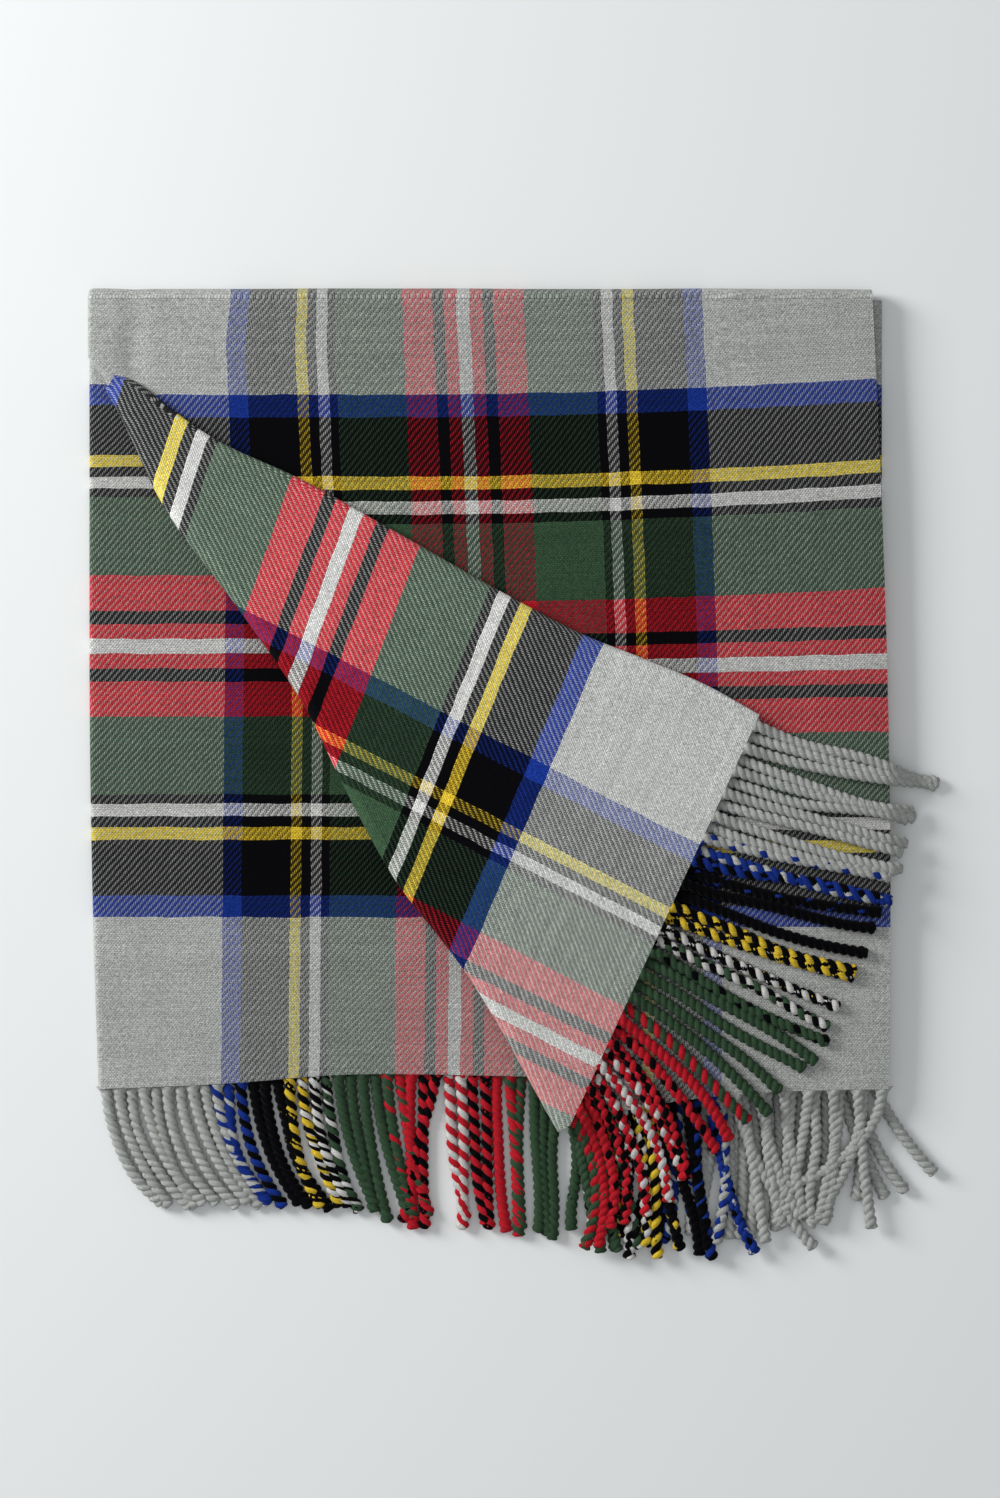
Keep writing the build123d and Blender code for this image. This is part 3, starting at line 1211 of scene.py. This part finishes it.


# %% [markdown]
# ## The tartan cloth
# The cloth is a two-and-two twill: each thread goes over two and under two, and each row is one
# step to the side of the last, so the floats make diagonal lines. A point's two thread numbers,
# added and taken modulo four, say whether warp or weft is on top. Each float is a small rounded
# mound that bumps the surface, and the colour is painted darker in the gaps between the mounds;
# this painted shade draws the diagonals. Brushed fibres soften it all a little, which a fine
# noise gives.


# %% Cloth material
def make_tartan():
    """Thread numbers give the two stripe colours, and the twill says which of them shows."""
    material = bpy.data.materials.new("tartan_cloth")
    material.use_nodes = True
    r = Recipe(material)
    place = r.node("ShaderNodeTexCoord").outputs["Object"]
    flat_u, flat_v = r.thread_numbers()
    drift_u = r.math("MULTIPLY", r.math("SUBTRACT", r.noise(place, 45, 1), 0.5), 1.6)
    drift_v = r.math("MULTIPLY", r.math("SUBTRACT", r.noise(place, 38, 1), 0.5), 1.6)
    u = r.math("ADD", flat_u, drift_u)
    v = r.math("ADD", flat_v, drift_v)
    end, pick = r.math("FLOOR", u), r.math("FLOOR", v)
    in_end, in_pick = r.math("FRACT", u), r.math("FRACT", v)
    shed = r.math("FLOORED_MODULO", r.math("ADD", end, pick), 4.0)
    from_centre = r.math("ABSOLUTE", r.math("SUBTRACT", in_end, 0.5))
    in_float = r.math("LESS_THAN", from_centre, 0.27)
    warp_up = r.math("MULTIPLY", r.math("LESS_THAN", shed, 1.5), in_float)
    warp = r.stripe(r.math("ADD", end, 0.5), fold_end, pivot_end)
    weft = r.stripe(r.math("ADD", pick, 0.5), fold_pick, pivot_pick)
    colour = r.mix(r.math("ADD", 0.07, r.math("MULTIPLY", warp_up, 0.84)), weft, warp)
    # Each point is mixed part way towards the darker of its warp and weft colours, more where the weft is
    # dark.
    darker = r.mix(1.0, weft, warp, "DARKEN")
    darker_share = r.math("SUBTRACT", 0.47, r.math("MULTIPLY", weft, 0.34))
    colour = r.mix(darker_share, colour, darker)

    def mound(along, beside):
        """A rounded float: root sine along its two threads, times root sine across it."""
        half_turns = r.math("MULTIPLY", along, math.pi / 2)
        length_part = r.math("POWER", r.math("ABSOLUTE", r.math("SINE", half_turns)), 0.5)
        width_part = r.math("SINE", r.math("MULTIPLY", beside, math.pi))
        return r.math("MULTIPLY", length_part, r.math("POWER", r.math("ABSOLUTE", width_part), 0.5))

    warp_mound = mound(r.math("ADD", shed, in_pick), in_end)
    weft_mound = mound(r.math("ADD", r.math("SUBTRACT", shed, 2.0), in_end), in_pick)
    picked = r.node("ShaderNodeMix", data_type="FLOAT")
    for socket, value in zip(picked.inputs[:1] + picked.inputs[2:4], (warp_up, weft_mound, warp_mound)):
        r.feed(socket, value)
    relief = picked.outputs[0]
    warp_part = r.math("MULTIPLY", end, warp_up)
    weft_part = r.math("MULTIPLY", pick, r.math("SUBTRACT", 1.0, warp_up))
    by_thread = r.chance(r.math("ADD", warp_part, weft_part))
    fluff = r.noise(place, 900, 3)
    melange = r.noise(place, 480, 2)
    mottle = r.noise(place, 28, 3)
    # Painted shade: the colour is darkened towards the gaps between the floats, where the relief is low.
    shade = r.math("ADD", 0.48, r.math("MULTIPLY", relief, 0.52))
    shade = r.vary(shade, 0.90, 0.2, by_thread)
    shade = r.vary(shade, 0.72, 0.56, fluff)
    shade = r.vary(shade, 0.25, 1.5, melange)
    shade = r.vary(shade, 0.88, 0.24, mottle)
    # Painted light: the turned corner's pieces carry a number above one here, which lightens their colour.
    painted_lightness = r.node("ShaderNodeAttribute", attribute_name="painted_lightness")
    shade = r.math("MULTIPLY", shade, painted_lightness.outputs["Fac"])
    colour = r.shaded(colour, shade)
    haze = r.math("MULTIPLY", r.math("POWER", fluff, 4.0), 0.006)
    colour = r.mix(haze, colour, (0.5, 0.5, 0.48, 1))
    bumps = r.math("ADD", relief, r.math("MULTIPLY", fluff, 0.9))
    wool_shader(r, colour, bumps, 0.45 * mm, 0.015)
    return material


tartan = make_tartan()

# %% [markdown]
# ## The fringe yarn
# A tassel is made of the warp's own ends, so its colour comes from the same stripes. The UV map
# gives the end at each point, and the grooves between the ends run along the ply; they are bumped
# and painted darker, a painted shade.


# %% Yarn material
def make_yarn():
    """The end's stripe colour, painted shade in the groove between ends, and fine fibres wound along the
    ply.
    """
    material = bpy.data.materials.new("fringe_yarn")
    material.use_nodes = True
    r = Recipe(material)
    place = r.node("ShaderNodeTexCoord").outputs["Object"]
    u, v = r.thread_numbers()
    slanted = r.math("ADD", u, r.math("MULTIPLY", v, 0.12))
    end = r.math("FLOOR", u)
    colour = r.stripe(r.math("ADD", end, 0.5), fold_end, pivot_end)
    groove = r.math("ABSOLUTE", r.math("SINE", r.math("MULTIPLY", slanted, math.pi)))
    groove = r.math("POWER", groove, 0.6)
    by_end = r.chance(end)
    fluff = r.noise(place, 1100, 3)
    # Painted shade: the colour is darkened in the grooves between the ends.
    shade = r.math("ADD", 0.52, r.math("MULTIPLY", groove, 0.30))
    shade = r.vary(shade, 0.88, 0.24, by_end)
    shade = r.vary(shade, 0.76, 0.48, fluff)
    colour = r.shaded(colour, shade)
    bumps = r.math("ADD", groove, r.math("MULTIPLY", fluff, 0.7))
    wool_shader(r, colour, bumps, 0.35 * mm, 0.03)
    return material


yarn = make_yarn()

# %% [markdown]
# ## Bodies
# The panels and the fringes on them ride on the half or the corner that they belong to. The
# rolls and the foot's tassels have their world places made part of their meshes, and ride on no
# body.

# %% Ride, place and replace
lower_z, third_z, second_z, top_z, under_z, face_z = (float(z) for z in level_mid)
cloth_pieces = [
    lower_cloth,
    upper_cloth,
    corner_cloth,
    back_roll_outer,
    back_roll_inner,
    crease_roll_outer,
    crease_roll_inner,
]
fringe_pieces = [
    third_fringe,
    bottom_fringe,
    top_fringe,
    second_fringe,
    corner_upper_fringe,
    corner_lower_fringe,
    foot_upper_fringe,
    foot_lower_fringe,
]
for piece in cloth_pieces:
    piece.data.materials.append(tartan)
for piece in fringe_pieces:
    piece.data.materials.append(yarn)
for piece in (lower_cloth, third_fringe, bottom_fringe):
    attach(piece, "lower_half")
for piece in (upper_cloth, top_fringe, second_fringe):
    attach(piece, "upper_half")
for piece in (corner_cloth, corner_upper_fringe, corner_lower_fringe):
    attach(piece, "turned_corner")


def bend_at_height(piece):
    """The piece's world place is made part of its mesh."""
    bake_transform(piece)


bend_at_height(back_roll_outer)
bend_at_height(back_roll_inner)
bend_at_height(crease_roll_outer)
bend_at_height(crease_roll_inner)
for piece in (foot_upper_fringe, foot_lower_fringe):
    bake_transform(piece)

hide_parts("bottom_layer", "third_layer", "lower_side_fold")
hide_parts("second_layer", "top_layer", "upper_side_fold")
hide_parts("corner_lower_layer", "corner_upper_layer", "corner_edge_fold")
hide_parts("back_fold_outer")
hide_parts("back_fold_inner")
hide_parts("corner_fold_outer")
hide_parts("corner_fold_inner")
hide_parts("bottom_fringe")
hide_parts("third_fringe")
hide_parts("second_fringe")
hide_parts("top_fringe")
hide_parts("corner_lower_fringe")
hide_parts("corner_upper_fringe")

# %% [markdown]
# ## Flat sizes
# The throw is one cloth, about 1.48 by 1.53 m without its fringes. It is made here as seven
# pieces that meet at the folds, so each is listed with its own share of the flat cloth, and the
# share's size is printed.

throw_width = ends_across * end_pitch
throw_length = picks_along * pick_pitch
half_length = throw_length / 2
corner_height = abs(float(np.cross(flap_point - apex, crease_foot - apex))) / crease_length
corner_area = corner_height * crease_length
upper_area = throw_width * half_length - corner_area
corner_flat = (2 * corner_height, crease_length)
roll_width = math.pi * (top_z - lower_z) / 2
crease_roll_width = math.pi * (face_z - second_z) / 2
inner_roll_width = max(math.pi * (second_z - third_z) / 2, 10 * mm)
sheets = [
    (lower_cloth, (throw_width, half_length), None, ["floor"], [third_fringe, bottom_fringe]),
    (upper_cloth, (throw_width, half_length), upper_area, ["lower_cloth"], [top_fringe, second_fringe]),
    (
        corner_cloth,
        corner_flat,
        corner_area,
        ["upper_cloth"],
        [corner_upper_fringe, corner_lower_fringe, foot_upper_fringe, foot_lower_fringe],
    ),
    (back_roll_outer, (throw_width / 2, roll_width), None, ["lower_cloth"], []),
    (back_roll_inner, (throw_width / 2, inner_roll_width), None, ["lower_cloth"], []),
    (crease_roll_outer, (crease_length, crease_roll_width * 1.3), None, ["upper_cloth"], []),
    (crease_roll_inner, (crease_length, inner_roll_width * 1.4), None, ["upper_cloth"], []),
]
for piece, flat, area, under, with_it in sheets:
    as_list(under)
    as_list(with_it)
    print(piece.name, "flat", [round(side, 3) for side in flat], "m")

# %% [markdown]
# ## Floor, light and camera
# The throw lies on a plain pale floor. One large soft light stands to the upper left, so that a
# broad shadow falls to the right, and the world fills the rest. The camera looks straight down.

# %% Stage
floor_mesh = bpy.data.meshes.new("floor")
reach = 6.0
floor_corners = [(-reach, -reach, 0), (reach, -reach, 0), (reach, reach, 0), (-reach, reach, 0)]
floor_mesh.from_pydata(floor_corners, [], [(0, 1, 2, 3)])
floor = bpy.data.objects.new("floor", floor_mesh)
bpy.context.scene.collection.objects.link(floor)
paint = bpy.data.materials.new("pale_floor")
paint.use_nodes = True
floor_shader = paint.node_tree.nodes["Principled BSDF"]
floor_shader.inputs["Base Color"].default_value = (0.80, 0.82, 0.815, 1)
floor_shader.inputs["Roughness"].default_value = 0.7
floor_mesh.materials.append(paint)

world = bpy.data.worlds.new("studio")
world.use_nodes = True
sky = world.node_tree.nodes["Background"]
sky.inputs["Color"].default_value = (0.96, 0.98, 1, 1)
sky.inputs["Strength"].default_value = 0.42
bpy.context.scene.world = world


def soft_light(name, place, size, power):
    """A square area light that points at the throw's middle."""
    data = bpy.data.lights.new(name, "AREA")
    data.size = size
    data.energy = power
    lamp = bpy.data.objects.new(name, data)
    lamp.location = place
    aim = mathutils.Vector(place)
    lamp.rotation_euler = aim.to_track_quat("Z", "Y").to_euler()
    bpy.context.scene.collection.objects.link(lamp)
    return lamp


soft_light("key", (-3.4, 1.5, 1.7), 1.6, 185)
soft_light("fill", (0.2, -0.4, 3.2), 2.4, 10)

picture_height = 1.408
picture_middle = (0.0103, -0.0578)
camera_height = 3.0
focus_height = 0.02
sensor_height = 36
camera_data = bpy.data.cameras.new("camera")
camera_data.sensor_fit = "VERTICAL"
camera_data.sensor_height = sensor_height
camera_data.lens = sensor_height * camera_height / picture_height
camera = bpy.data.objects.new("camera", camera_data)
camera.location = (*picture_middle, camera_height + focus_height)
bpy.context.scene.collection.objects.link(camera)
bpy.context.scene.camera = camera
bpy.context.scene.view_settings.view_transform = "Standard"
